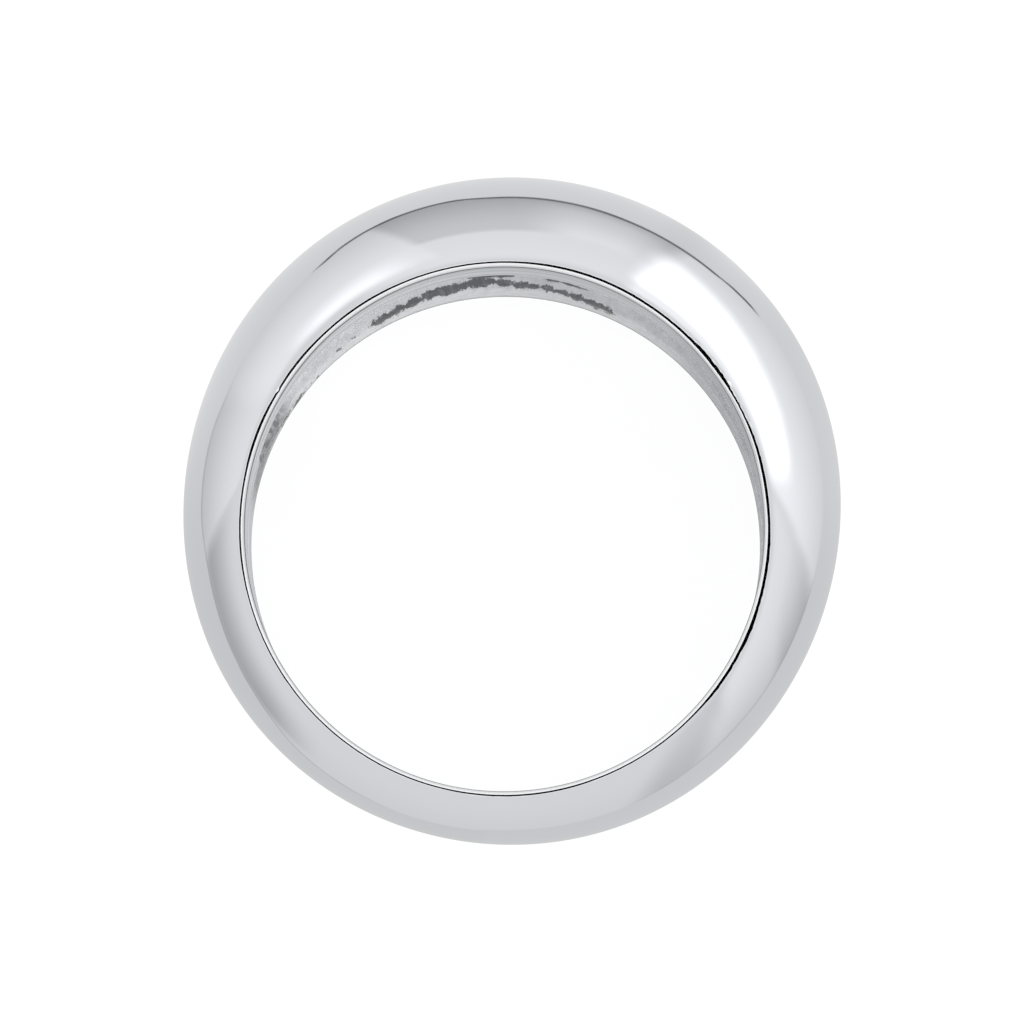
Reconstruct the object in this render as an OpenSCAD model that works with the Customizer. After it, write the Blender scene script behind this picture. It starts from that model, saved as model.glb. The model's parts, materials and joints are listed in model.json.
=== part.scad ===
// Chunky ring: a wide domed band that narrows and thins towards the back of the finger.
// It lies on its side, so the finger hole stands nearly upright and leans with the taper.
// The dome is hollowed from inside, between two plain ledges.

/* [Finger hole] */
// Diameter of the finger hole
hole_d = 17.3; // [15:0.1:21]

/* [Band] */
// Width of the band across the crown of the dome
crown_w = 11; // [9:0.5:13]
// Width of the band at the back of the finger
shank_w = 5.5; // [4:0.5:7]
// Thickness at the crown of the dome
crown_t = 3.55; // [3:0.05:4.5]
// Thickness halfway down each side of the ring
side_t = 2.35; // [2.1:0.05:2.6]
// Thickness at the back of the finger
shank_t = 1.65; // [1.4:0.05:2]
// Extra thickness on the shoulders, halfway between those places
shoulder_t = 0.06; // [0:0.02:0.2]

/* [Edges] */
// Width of the bevel around each mouth of the finger hole
bevel_w = 0.11; // [0.09:0.01:0.3]
// Depth of that bevel along the finger hole
bevel_h = 0.2; // [0.1:0.02:0.3]
// Width of the flat land between the bevel and the dome
land_w = 0.08; // [0.04:0.01:0.2]
// Angle on the dome's oval at which it leaves the land
dome_start = 20; // [5:1:30]

/* [Hollow back] */
// Metal left between the hollow and the crown of the dome
hollow_wall = 1.4; // [1.1:0.1:1.8]
// Share of the band's width that each plain ledge takes
ledge_share = 0.27; // [0.15:0.01:0.3]
// Angle that the hollow reaches on each side of the crown
hollow_reach = 88; // [60:1:95]
// Height of the straight lip between a ledge and the hollow
lip_h = 0.15; // [0.05:0.05:0.3]
// Squareness of the hollow's corners, 1 for an oval
hollow_power = 0.7; // [0.5:0.05:1]

/* [Facets] */
// Sections around the ring
band_sections = 88; // [48:8:96]
// Steps on the dome from a land to the crown
dome_steps = 9; // [6:1:10]
// Steps across the hollow's arch
hollow_steps = 10; // [8:2:12]

/* [Hidden] */

hole_r = hole_d / 2;
// The blank reaches this far inside the wall of the finger hole, which is bored through it
overlap = 0.3;
blank_in_r = hole_r - overlap;
land_in_r = hole_r + bevel_w;
land_out_r = land_in_r + land_w;

// Both sides of the band are planes, this steep to the square section of the finger hole
mean_half_w = (crown_w + shank_w) / 4;
side_slope = (crown_w - shank_w) / 4 / land_in_r;
lean = atan(side_slope);
rest_h = mean_half_w * cos(lean);

// The hollow's arch never goes quite flat: past the hollow it stays inside the finger hole
flat_share = 0.04;

// Height of the side plane above the middle of the band, at a radius and an angle from the crown
function side_plane(r, a) = mean_half_w + side_slope * r * cos(a);

// Thickness of the band at an angle from the crown
function thickness(a) =
    let (swing = (crown_t - shank_t) / 2, middle = (crown_t + shank_t) / 2)
    (middle + side_t) / 2 + swing * cos(a) + (middle - side_t) / 2 * cos(2 * a)
        + shoulder_t * pow(sin(2 * a), 2);

// One side of the band's section, from inside the finger hole over bevel and land up the dome:
// each point is [radius, height along the finger hole]
function half_section(a) =
    let (
        land_h = side_plane(land_out_r, a),
        rise = hole_r + thickness(a) - land_out_r,
        start = sin(dome_start),
        bevel_slope = bevel_h / bevel_w
    )
    concat(
        [
            [blank_in_r, side_plane(land_in_r, a) - bevel_slope * (bevel_w + overlap)],
            [land_in_r, side_plane(land_in_r, a)]
        ],
        [
            for (k = [0 : dome_steps - 1])
                let (u = dome_start + (90 - dome_start) * k / dome_steps)
                [
                    land_out_r + rise * (sin(u) - start) / (1 - start),
                    land_h * cos(u) / cos(dome_start)
                ]
        ]
    );

// How much of its full depth the hollow has at an angle from the crown, 1 over the dome
function hollow_share(a) =
    let (turn = a > 180 ? a - 360 : a)
    max(flat_share, sqrt(max(0, 1 - pow(turn / hollow_reach, 4))));

// The inside of the blank, from one ledge over the hollow's arch to the other
function hollow_section(a) =
    let (
        share = hollow_share(a),
        half_w = side_plane(hole_r, a) * (1 - 2 * ledge_share) * (1 + share) / 2,
        lip = (overlap + lip_h) * share,
        arch = (overlap + thickness(a) - hollow_wall) * share - lip
    )
    concat(
        [[blank_in_r, -half_w]],
        [
            for (k = [0 : hollow_steps])
                let (u = 180 * k / hollow_steps, side = u < 90 ? -1 : 1)
                [
                    blank_in_r + lip + arch * pow(sin(u), hollow_power),
                    side * half_w * pow(abs(cos(u)), hollow_power)
                ]
        ],
        [[blank_in_r, half_w]]
    );

function reversed(points) = [for (k = [len(points) - 1 : -1 : 0]) points[k]];

function band_section(a) =
    let (half = half_section(a))
    concat(
        half,
        [[hole_r + thickness(a), 0]],
        [for (p = reversed(half)) [p[0], -p[1]]],
        hollow_section(a)
    );

// A section's point placed in the ring, with the crown towards +Y and the hole along Z
function placed(p, a) = [p[0] * sin(a), p[0] * cos(a), p[1]];

band_angles = [for (i = [0 : band_sections - 1]) 360 * i / band_sections];
band_points = [for (a = band_angles) each [for (p = band_section(a)) placed(p, a)]];

// Middle of the leaning band from front to back, so that the origin sits under its middle
band_ys = [for (p = band_points) p[1] * cos(lean) - p[2] * sin(lean)];
mid_y = (max(band_ys) + min(band_ys)) / 2;

// The band as cast: dome, sides and hollow, skinned with triangles from section to section
module band_blank() {
    count = len(band_section(0));
    polyhedron(
        points = band_points,
        faces = [
            for (i = [0 : band_sections - 1], k = [0 : count - 1])
                let (here = i * count, next = (i + 1) % band_sections * count, m = (k + 1) % count)
                each [
                    [here + k, here + m, next + k],
                    [here + m, next + m, next + k]
                ]
        ]
    );
}

module finger_hole() {
    cylinder(h = 2 * crown_w, r = hole_r, center = true, $fn = 180);
}

module band() {
    color("silver")
        translate([0, -mid_y, rest_h])
            rotate([lean, 0, 0])
                difference() {
                    band_blank();
                    finger_hole();
                }
}

band();
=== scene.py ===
"""A chunky domed ring in polished white metal, lying on its side on a pale studio floor."""

import json
import logging
import math
from collections.abc import Sequence
from dataclasses import dataclass, field
from enum import Enum
from typing import Any, ClassVar

import bmesh
import bpy
from mathutils import Matrix, Vector


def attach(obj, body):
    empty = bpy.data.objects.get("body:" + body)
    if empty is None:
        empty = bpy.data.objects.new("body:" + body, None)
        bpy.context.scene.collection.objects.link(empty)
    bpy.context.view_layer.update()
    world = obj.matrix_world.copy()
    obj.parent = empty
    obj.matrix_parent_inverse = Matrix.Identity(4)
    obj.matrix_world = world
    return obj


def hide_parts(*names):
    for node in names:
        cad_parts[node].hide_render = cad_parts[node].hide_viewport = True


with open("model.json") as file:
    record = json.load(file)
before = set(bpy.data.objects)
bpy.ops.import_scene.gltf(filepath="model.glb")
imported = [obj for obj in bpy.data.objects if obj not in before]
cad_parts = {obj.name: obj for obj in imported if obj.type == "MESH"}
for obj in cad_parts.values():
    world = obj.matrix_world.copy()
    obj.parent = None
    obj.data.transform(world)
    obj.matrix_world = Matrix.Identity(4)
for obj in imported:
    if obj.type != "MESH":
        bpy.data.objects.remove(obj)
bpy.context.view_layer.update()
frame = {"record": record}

log = logging.getLogger("ring")

MM = 0.001
PICTURE_PIXELS = 1024
DISPLAY_GAMMA = 2.2
# Metres: vertices this close are welded, and edges this short are dropped
WELD = 1e-6
TINY_EDGE = 1e-8
# Directions from the ring: towards the camera, and towards the picture's right
TO_CAMERA = (0.02400, -0.22130, 0.97491)
PICTURE_RIGHT = (0.97234, 0.23179, 0.02868)


class Signal:
    """A node's output socket, which can be used in plain arithmetic."""

    def __init__(self, graph: "Graph", socket: bpy.types.NodeSocket | None) -> None:
        """Wraps a socket.

        Args:
            graph: The node tree that the socket is in.
            socket: The output that the signal stands for.
        """
        self.graph = graph
        self.socket = socket

    def __add__(self, other: "Operand") -> "Signal":
        """Adds a number or a signal."""
        return self.graph.maths("ADD", self, other)

    def __radd__(self, other: "Operand") -> "Signal":
        """Adds the signal to a number."""
        return self.graph.maths("ADD", other, self)

    def __sub__(self, other: "Operand") -> "Signal":
        """Takes a number or a signal away."""
        return self.graph.maths("SUBTRACT", self, other)

    def __rsub__(self, other: "Operand") -> "Signal":
        """Takes the signal away from a number."""
        return self.graph.maths("SUBTRACT", other, self)

    def __mul__(self, other: "Operand") -> "Signal":
        """Multiplies by a number or a signal."""
        return self.graph.maths("MULTIPLY", self, other)

    def __rmul__(self, other: "Operand") -> "Signal":
        """Multiplies a number by the signal."""
        return self.graph.maths("MULTIPLY", other, self)

    def __truediv__(self, other: "Operand") -> "Signal":
        """Divides by a number or a signal."""
        return self.graph.maths("DIVIDE", self, other)

    def __rtruediv__(self, other: "Operand") -> "Signal":
        """Divides a number by the signal."""
        return self.graph.maths("DIVIDE", other, self)

    def __pow__(self, other: "Operand") -> "Signal":
        """Raises the signal to a power."""
        return self.graph.maths("POWER", self, other)

    def __neg__(self) -> "Signal":
        """Turns the sign round."""
        return self.graph.maths("MULTIPLY", self, -1.0)

    def __abs__(self) -> "Signal":
        """Drops the sign."""
        return self.graph.maths("ABSOLUTE", self)


Operand = Signal | float


@dataclass(frozen=True)
class Grain:
    """A noise pattern: how fine it is, its finer layers, and how strong those are."""

    scale: float
    detail: float
    roughness: float


class Graph:
    """A node tree under construction, for shaders, the world and geometry alike."""

    def __init__(self, tree: bpy.types.NodeTree) -> None:
        """Starts on a tree.

        Args:
            tree: The node tree that the nodes go into.
        """
        self.tree = tree

    def node(
        self,
        kind: str,
        settings: dict[str, Any] | None = None,
        values: dict[str | int, Any] | None = None,
        output: str | int = 0,
    ) -> Signal:
        """Adds one node.

        Args:
            kind: The node's Blender type.
            settings: Its own settings, set first. "curve" gives the points of a float curve.
            values: A value or a signal for each input socket, by name or place.
            output: The output socket to hand back, by name or place.

        Returns:
            The chosen output as a signal, which an output node doesn't have.
        """
        made = self.tree.nodes.new(kind)
        for name, setting in (settings or {}).items():
            if name == "curve":
                self._shape_curve(made, setting)
            else:
                setattr(made, name, setting)
        for name, value in (values or {}).items():
            self.feed(made.inputs[name], value)
        return Signal(self, made.outputs[output] if made.outputs else None)

    def feed(self, socket: bpy.types.NodeSocket, value: Any) -> None:
        """Links a signal to an input socket, or sets the socket to a plain value.

        Args:
            socket: The input socket.
            value: A signal, several signals, a number, a colour or a data block.
        """
        parts = value if isinstance(value, list) else [value]
        for part in parts:
            if isinstance(part, Signal):
                self.tree.links.new(part.socket, socket)
            else:
                socket.default_value = part

    @staticmethod
    def _shape_curve(made: bpy.types.Node, points: list[tuple[float, float]]) -> None:
        """Gives a float curve its points.

        Args:
            made: The Float Curve node.
            points: Where the curve passes, from left to right.
        """
        curve = made.mapping.curves[0]
        while len(curve.points) < len(points):
            curve.points.new(0.5, 0.5)
        for spot, (across, up) in zip(curve.points, points):
            spot.location = (across, up)
        made.mapping.update()

    def maths(self, operation: str, *values: Operand) -> Signal:
        """Adds a Math node on up to three numbers or signals."""
        return self.node("ShaderNodeMath", {"operation": operation}, dict(enumerate(values)))

    def least(self, one: Operand, other: Operand) -> Signal:
        """The smaller of two values."""
        return self.maths("MINIMUM", one, other)

    def most(self, one: Operand, other: Operand) -> Signal:
        """The larger of two values."""
        return self.maths("MAXIMUM", one, other)

    def sine(self, angle: Operand) -> Signal:
        """Sine of an angle in radians."""
        return self.maths("SINE", angle)

    def cosine(self, angle: Operand) -> Signal:
        """Cosine of an angle in radians."""
        return self.maths("COSINE", angle)

    def blend(self, share: Operand, start: Operand, end: Operand) -> Signal:
        """Goes from one value to another as a share goes from 0 to 1."""
        return (end - start) * share + start

    def ramp(
        self, value: Operand, low: Operand, high: Operand, to_low: float = 0.0, to_high: float = 1.0
    ) -> Signal:
        """Rises smoothly from one level to another while a value crosses a range.

        Args:
            value: The value that is looked at.
            low: Where the rise begins.
            high: Where it ends.
            to_low: The level before the rise.
            to_high: The level after it.

        Returns:
            The level.
        """
        return self.node(
            "ShaderNodeMapRange",
            {"interpolation_type": "SMOOTHSTEP"},
            {
                "Value": value,
                "From Min": low,
                "From Max": high,
                "To Min": to_low,
                "To Max": to_high,
            },
        )

    def window(self, value: Signal, start: float, end: float, soft: float) -> Signal:
        """1 while a value is between two limits, 0 outside, with soft edges.

        Args:
            value: The value that is looked at.
            start: The lower limit, where the window is half open.
            end: The upper limit, where it is half shut.
            soft: How far each edge is spread to either side.

        Returns:
            How far the window is open.
        """
        opening = self.ramp(value, start - soft, start + soft)
        shutting = self.ramp(value, end - soft, end + soft, 1.0, 0.0)
        return opening * shutting

    def curve(self, spot: Signal, places: list[float], levels: list[float]) -> Signal:
        """A smooth curve through some levels.

        Args:
            spot: Where the curve is read, from 0 to 1.
            places: Where each level is, in rising order.
            levels: The levels.

        Returns:
            The curve's level.
        """
        low, high = min(levels), max(levels)
        points = [(at, (level - low) / (high - low)) for at, level in zip(places, levels)]
        share = self.node("ShaderNodeFloatCurve", {"curve": points}, {"Value": spot})
        return share * (high - low) + low

    def round_ring(self, degrees: Signal, levels: Sequence[tuple[float, float]]) -> Signal:
        """A level that changes smoothly round the ring.

        Args:
            degrees: Degrees from the crown, from -180 to 180.
            levels: Degrees from the crown, and the level there.

        Returns:
            The level at each angle.
        """
        return self.curve(
            degrees / 360 + 0.5,
            [turn / 360 + 0.5 for turn, _ in levels],
            [level for _, level in levels],
        )

    def noise(self, place: Signal, grain: Grain, seed: Operand | None = None) -> Signal:
        """Cloudy noise.

        Args:
            place: Where it is read.
            grain: Its pattern.
            seed: A fourth coordinate, for noise in four dimensions.

        Returns:
            The noise, from 0 to 1.
        """
        values = {
            "Vector": place,
            "Scale": grain.scale,
            "Detail": grain.detail,
            "Roughness": grain.roughness,
        }
        if seed is None:
            return self.node("ShaderNodeTexNoise", values=values)
        values["W"] = seed
        return self.node("ShaderNodeTexNoise", {"noise_dimensions": "4D"}, values)

    def noise_line(self, place: Operand, detail: float) -> Signal:
        """Noise along one direction.

        Args:
            place: Where it is read.
            detail: Its finer layers.

        Returns:
            The noise, from 0 to 1.
        """
        return self.node(
            "ShaderNodeTexNoise",
            {"noise_dimensions": "1D"},
            {"W": place, "Scale": 1.0, "Detail": detail, "Roughness": 0.5},
        )

    def vector(self, x: Operand, y: Operand, z: Operand) -> Signal:
        """Puts three values together as one vector."""
        return self.node("ShaderNodeCombineXYZ", values={0: x, 1: y, 2: z})

    def dot(self, one: Signal, direction: Vector) -> Signal:
        """Length of a vector along a fixed direction.

        Args:
            one: The vector.
            direction: The direction, one long.

        Returns:
            The length.
        """
        return self.node(
            "ShaderNodeVectorMath",
            {"operation": "DOT_PRODUCT"},
            {0: one, 1: tuple(direction)},
            "Value",
        )


class Side(Enum):
    """The two sides of the band, above and below the middle of its width."""

    UPPER = 1.0
    LOWER = -1.0


@dataclass(frozen=True)
class SectionPoint:
    """A place on the band's section, in millimetres."""

    radius: Operand
    height: Operand

    def towards(self, other: "SectionPoint", share: Operand) -> "SectionPoint":
        """The place some share of the way to another one.

        Args:
            other: The other place.
            share: The share, from 0 to 1.

        Returns:
            The place between them.
        """
        return SectionPoint(
            (other.radius - self.radius) * share + self.radius,
            (other.height - self.height) * share + self.height,
        )


@dataclass(frozen=True)
class TarnishAndShadowStep:
    """One step along a dark track in the hollow: degrees from the crown, then millimetres."""

    turn: float
    radius: float
    half_width: float


@dataclass(frozen=True)
class LandStep:
    """The hand-finished land at one angle, in degrees from the crown.

    Its width, and how far its inner edge is cut back, are shares of an even land's.
    """

    turn: float
    width: float
    cut: float = 1.0


@dataclass(frozen=True)
class TarnishAndShadowTrack:
    """A dark track along the hollow, and how far its edges wander, in millimetres."""

    ragged: float
    steps: tuple[TarnishAndShadowStep, ...]


@dataclass(frozen=True)
class PolishedSilver:
    """Bright polished white metal, satin inside, with a cast skin in the hollow under the dome, painted
    highlights on its edges and painted shade inside.
    """

    name: str = "polished_silver"
    tint: tuple[float, float, float, float] = (0.872, 0.887, 0.925, 1.0)
    # Painted highlight: the near-white colour on the bevel's rounded edge and on the upper lip's edge
    painted_highlight_tint: tuple[float, float, float, float] = (0.97, 0.975, 0.99, 1.0)
    satin_tint: tuple[float, float, float, float] = (0.79, 0.812, 0.856, 1.0)
    satin_line_tint: tuple[float, float, float, float] = (0.57, 0.587, 0.622, 1.0)
    # Painted shade: dark lines at the bevel's foot, on part of the bevel's flat, and across the lower
    # ledge near the rim
    shade_line_tint: tuple[float, float, float, float] = (0.20, 0.203, 0.212, 1.0)
    skin_tint: tuple[float, float, float, float] = (0.93, 0.94, 0.958, 1.0)
    skin_spot_tint: tuple[float, float, float, float] = (0.74, 0.748, 0.763, 1.0)
    # Painted shade: the grey that darkens the metal inside the ring, more on some sides than others
    painted_shade_tint: tuple[float, float, float, float] = (0.36, 0.37, 0.393, 1.0)
    # Tarnish in the hollow, and the painted shadow under the near lip
    tarnish_and_shadow_tint: tuple[float, float, float, float] = (0.2, 0.203, 0.21, 1.0)
    faint_tarnish_and_shadow_tint: tuple[float, float, float, float] = (0.28, 0.284, 0.293, 1.0)
    polish_roughness: float = 0.03
    satin_roughness: float = 0.14
    skin_roughness: float = 0.32
    tarnish_and_shadow_roughness: float = 0.5
    satin_matt: float = 0.5
    skin_matt: float = 0.6
    # How matt the painted highlight and the painted shade lines are
    highlight_matt: float = 0.7
    shade_line_matt: float = 0.5
    # How much of the painted shade inside the ring the hollow and the lower ledge get
    hollow_painted_shade: float = 0.42
    far_ledge_painted_shade: float = 0.75
    ledge_fall: float = 0.085
    # Noise patterns, then the ranges over which each finish comes in, and how strongly
    coarse_grain: Grain = Grain(5.5, 5.0, 0.65)
    mottle_grain: Grain = Grain(3.2, 4.0, 0.6)
    mottle_stretch: float = 0.4
    wipe_grain: Grain = Grain(0.35, 3.0, 0.6)
    tarnish_and_shadow_grain: Grain = Grain(3.4, 6.0, 0.72)
    tarnish_and_shadow_stretch: float = 0.3
    pit_grain: Grain = Grain(14.0, 3.0, 0.6)
    line_grain: Grain = Grain(1.0, 2.0, 0.5)
    wall_line_pitch: float = 1.6
    wall_edge: tuple[float, float] = (0.004, 0.014)
    mottle_range: tuple[float, float] = (0.38, 0.68)
    mottle_share: float = 0.6
    wall_line_range: tuple[float, float] = (0.38, 0.66)
    patch_range: tuple[float, float] = (0.46, 0.68)
    wipe_range: tuple[float, float] = (0.35, 0.7)
    wipe_gain: float = 0.03
    mottle_gain: float = 0.1
    tarnish_and_shadow_edge: tuple[float, float] = (-0.015, 0.035)
    stain_start: float = -94.0
    stain_end: float = -72.0
    stain_soft: float = 5.0
    stain_fade: tuple[float, float] = (2.8, 4.4)
    stain_grain: tuple[float, float] = (0.36, 0.6)
    stain_levels: tuple[float, float] = (0.42, 0.88)
    line_stretch: float = 1.5
    line_pitch: float = 6.0
    line_strength: float = 0.05
    line_depth: float = 0.00002
    pit_share: float = 0.35
    grain_share: float = 0.8
    pit_strength: float = 0.8
    pit_depth: float = 0.000012
    # Painted shade inside the ring: how strong it is at each angle from the crown
    painted_shade_levels: tuple[tuple[float, float], ...] = (
        (-180, 0.30),
        (-104, 0.10),
        (-60, 0.00),
        (-30, 0.20),
        (-5, 0.42),
        (16, 0.50),
        (26, 0.60),
        (38, 0.92),
        (56, 1.00),
        (80, 0.80),
        (110, 0.40),
        (180, 0.30),
    )
    tracks: tuple[TarnishAndShadowTrack, ...] = (
        TarnishAndShadowTrack(
            0.6,
            (
                TarnishAndShadowStep(-92, 8.60, -0.14),
                TarnishAndShadowStep(-86, 8.60, -0.02),
                TarnishAndShadowStep(-79, 8.57, 0.00),
                TarnishAndShadowStep(-72, 8.52, 0.02),
                TarnishAndShadowStep(-66, 8.49, 0.02),
                TarnishAndShadowStep(-61, 8.49, -0.02),
                TarnishAndShadowStep(-59, 8.60, -0.16),
                TarnishAndShadowStep(-56.5, 8.66, -0.02),
                TarnishAndShadowStep(-51, 8.67, 0.00),
                TarnishAndShadowStep(-47, 8.69, 0.01),
                TarnishAndShadowStep(-44, 8.70, 0.085),
                TarnishAndShadowStep(-40, 8.72, 0.135),
                TarnishAndShadowStep(-34, 8.79, 0.145),
                TarnishAndShadowStep(-28, 8.84, 0.15),
                TarnishAndShadowStep(-22, 8.90, 0.15),
                TarnishAndShadowStep(-18, 8.92, 0.14),
                TarnishAndShadowStep(-14, 8.87, 0.10),
                TarnishAndShadowStep(-10, 8.81, 0.105),
                TarnishAndShadowStep(-5, 8.79, 0.105),
                TarnishAndShadowStep(-1, 8.77, 0.07),
                TarnishAndShadowStep(3, 8.72, 0.115),
                TarnishAndShadowStep(7, 8.69, 0.10),
                TarnishAndShadowStep(10.5, 8.64, 0.07),
                TarnishAndShadowStep(12.5, 8.62, -0.16),
            ),
        ),
        # Painted shadow: a thin dark line under the near lip
        TarnishAndShadowTrack(
            0.22,
            (
                TarnishAndShadowStep(-24, 9.13, -0.10),
                TarnishAndShadowStep(-20.5, 9.13, 0.05),
                TarnishAndShadowStep(-13, 9.12, 0.06),
                TarnishAndShadowStep(-10.5, 9.11, -0.04),
                TarnishAndShadowStep(-7, 9.10, -0.05),
                TarnishAndShadowStep(-4.5, 9.10, 0.04),
                TarnishAndShadowStep(1, 9.08, 0.03),
                TarnishAndShadowStep(4, 9.06, 0.01),
                TarnishAndShadowStep(8, 9.05, -0.10),
            ),
        ),
    )

    def make(self, place: "RingPlace") -> bpy.types.Material:
        """Builds the material.

        Args:
            place: Where the ring lies, so that patterns follow its own axes.

        Returns:
            The finished material.
        """
        made = bpy.data.materials.new(self.name)
        made.use_nodes = True
        made.node_tree.nodes.clear()
        graph = Graph(made.node_tree)

        here = self._ring_place(graph, place)
        across, along, height = (
            graph.node("ShaderNodeSeparateXYZ", values={0: here}, output=axis) for axis in "XYZ"
        )
        radius = graph.maths("SQRT", across * across + along * along)
        turn = graph.maths("ARCTAN2", across, along) * (180 / math.pi)
        # The upper half of the hollow has the lower half's patches, turned the other way round
        lower_turn = -graph.maths("SIGN", height) * turn

        # Marks for the cast skin, the painted highlight, the painted shade lines, and how far the lower
        # ledge is past the lip
        skin, highlight, foot, past_lip = (
            graph.node("ShaderNodeAttribute", {"attribute_name": mark}, output="Fac")
            for mark in (
                RingBand.skin_mark, RingBand.highlight_mark, RingBand.shade_line_mark, RingBand.ledge_mark
            )
        )
        wall_start, wall_end = (place.hole_r + past for past in self.wall_edge)
        wall = graph.ramp(radius, wall_start, wall_end, 1.0, 0.0)
        grain = graph.noise(here, self.coarse_grain)
        squeezed = graph.vector(across, along, height * self.mottle_stretch)
        mottle = graph.ramp(graph.noise(squeezed, self.mottle_grain), *self.mottle_range)
        fallen = radius - past_lip * self.ledge_fall
        drawn_out = graph.vector(across, along, height * self.tarnish_and_shadow_stretch)
        tarnish_and_shadow = self._tarnish_and_lip_shadow(graph, drawn_out, lower_turn, fallen) * skin
        inside = graph.most(wall, skin)
        stain = self._stain(graph, lower_turn, height, grain) * inside
        dark = graph.most(tarnish_and_shadow, stain)

        wall_lines = graph.noise_line(height * self.wall_line_pitch, detail=1.0)
        lined = graph.ramp(wall_lines, *self.wall_line_range)
        satin = self._mix(graph, lined, self.satin_tint, self.satin_line_tint)
        spotted = mottle * self.mottle_share
        cast = self._mix(graph, spotted, self.skin_tint, self.skin_spot_tint)
        # Painted shade: the metal inside the ring is darkened by an amount that changes round the ring
        ledge_share = graph.blend(skin, wall, self.far_ledge_painted_shade)
        painted_shade_share = graph.blend(wall, self.hollow_painted_shade, ledge_share)
        painted_shade = graph.round_ring(turn, self.painted_shade_levels) * painted_shade_share
        inside_with_painted_shade = self._mix(graph, painted_shade, self._mix(graph, skin, satin, cast), self.painted_shade_tint)
        clean = self._mix(graph, inside, self.tint, inside_with_painted_shade)
        patchy = graph.ramp(grain, *self.patch_range)
        tarnish_and_shadow_colour = self._mix(graph, patchy, self.tarnish_and_shadow_tint, self.faint_tarnish_and_shadow_tint)
        colour = self._mix(graph, dark, clean, tarnish_and_shadow_colour)
        # Painted shade lines, then the painted highlight on the edges
        colour = self._mix(graph, foot, colour, self.shade_line_tint)
        colour = self._mix(graph, highlight, colour, self.painted_highlight_tint)

        wipe = graph.noise(here, self.wipe_grain)
        wiped = self.polish_roughness + self.wipe_gain
        mirror = graph.ramp(wipe, *self.wipe_range, self.polish_roughness, wiped)
        smooth = graph.blend(wall, mirror, self.satin_roughness)
        uneven = mottle * self.mottle_gain + self.skin_roughness
        rough = graph.blend(dark, uneven, self.tarnish_and_shadow_roughness)
        roughness = graph.blend(skin, smooth, rough)

        inner_matt = graph.most(wall * self.satin_matt, skin * self.skin_matt)
        matt = graph.blend(foot, inner_matt, self.shade_line_matt)
        matt = graph.blend(highlight, matt, self.highlight_matt)
        bump = self._bump(graph, here, across / radius, along / radius, radius, height, skin, grain)
        metal = graph.node(
            "ShaderNodeBsdfPrincipled",
            values={
                "Base Color": colour,
                "Metallic": 1 - matt,
                "Roughness": roughness,
                "Specular IOR Level": 0.0,
                "Normal": bump,
            },
        )
        graph.node("ShaderNodeOutputMaterial", values={"Surface": metal})
        return made

    @staticmethod
    def _mix(graph: Graph, share: Signal, one: Any, other: Any) -> Signal:
        """Mixes two colours.

        Args:
            graph: The material's tree.
            share: How much of the second colour there is.
            one: The first colour, a signal or four numbers.
            other: The second colour.

        Returns:
            The mixed colour.
        """
        return graph.node(
            "ShaderNodeMix",
            {"data_type": "RGBA"},
            {0: share, 6: one, 7: other},
            2,
        )

    @staticmethod
    def _ring_place(graph: Graph, place: "RingPlace") -> Signal:
        """Turns object coordinates into millimetres along the ring's own axes.

        Args:
            graph: The material's tree.
            place: Where the ring lies.

        Returns:
            The place on the ring's own axes.
        """
        at_object = graph.node("ShaderNodeTexCoord", output="Object")
        return graph.node(
            "ShaderNodeMapping",
            {"vector_type": "TEXTURE"},
            {
                "Vector": at_object,
                "Location": tuple(place.centre),
                "Rotation": (place.lean, 0.0, 0.0),
                "Scale": (MM, MM, MM),
            },
        )

    def _tarnish_and_lip_shadow(self, graph: Graph, here: Signal, turn: Signal, radius: Signal) -> Signal:
        """Ragged dark tracks along the wall of the hollow: tarnish, and a painted shadow under the near
        lip.

        Args:
            graph: The material's tree.
            here: Place on the ring's own axes in millimetres, drawn out along the finger hole.
            turn: Degrees from the crown.
            radius: Distance from the middle of the finger hole in millimetres, which goes on
                falling along the lower ledge.

        Returns:
            How dark the place is, from 0 to 1.
        """
        ragged = graph.noise(here, self.tarnish_and_shadow_grain)
        dark: Operand = 0.0
        for track in self.tracks:
            first, last = track.steps[0].turn, track.steps[-1].turn
            spot = (turn - first) / (last - first)
            shares = [(step.turn - first) / (last - first) for step in track.steps]
            middle = graph.curve(spot, shares, [step.radius for step in track.steps])
            half = graph.curve(spot, shares, [step.half_width for step in track.steps])
            inside = half - abs(radius - middle) + (ragged - 0.5) * track.ragged
            dark = graph.most(dark, graph.ramp(inside, *self.tarnish_and_shadow_edge))
        return dark

    def _stain(self, graph: Graph, turn: Signal, height: Signal, grain: Signal) -> Signal:
        """A cloudy grey stain beside the hollow's end, on the ledge too.

        Args:
            graph: The material's tree.
            turn: Degrees from the crown.
            height: Place along the finger hole, in millimetres.
            grain: The cast skin's coarse grain.

        Returns:
            How dark the place is, from 0 to 1.
        """
        round_ring = graph.window(turn, self.stain_start, self.stain_end, self.stain_soft)
        along_hole = graph.ramp(abs(height), *self.stain_fade, 1.0, 0.0)
        return round_ring * along_hole * graph.ramp(grain, *self.stain_grain, *self.stain_levels)

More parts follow.
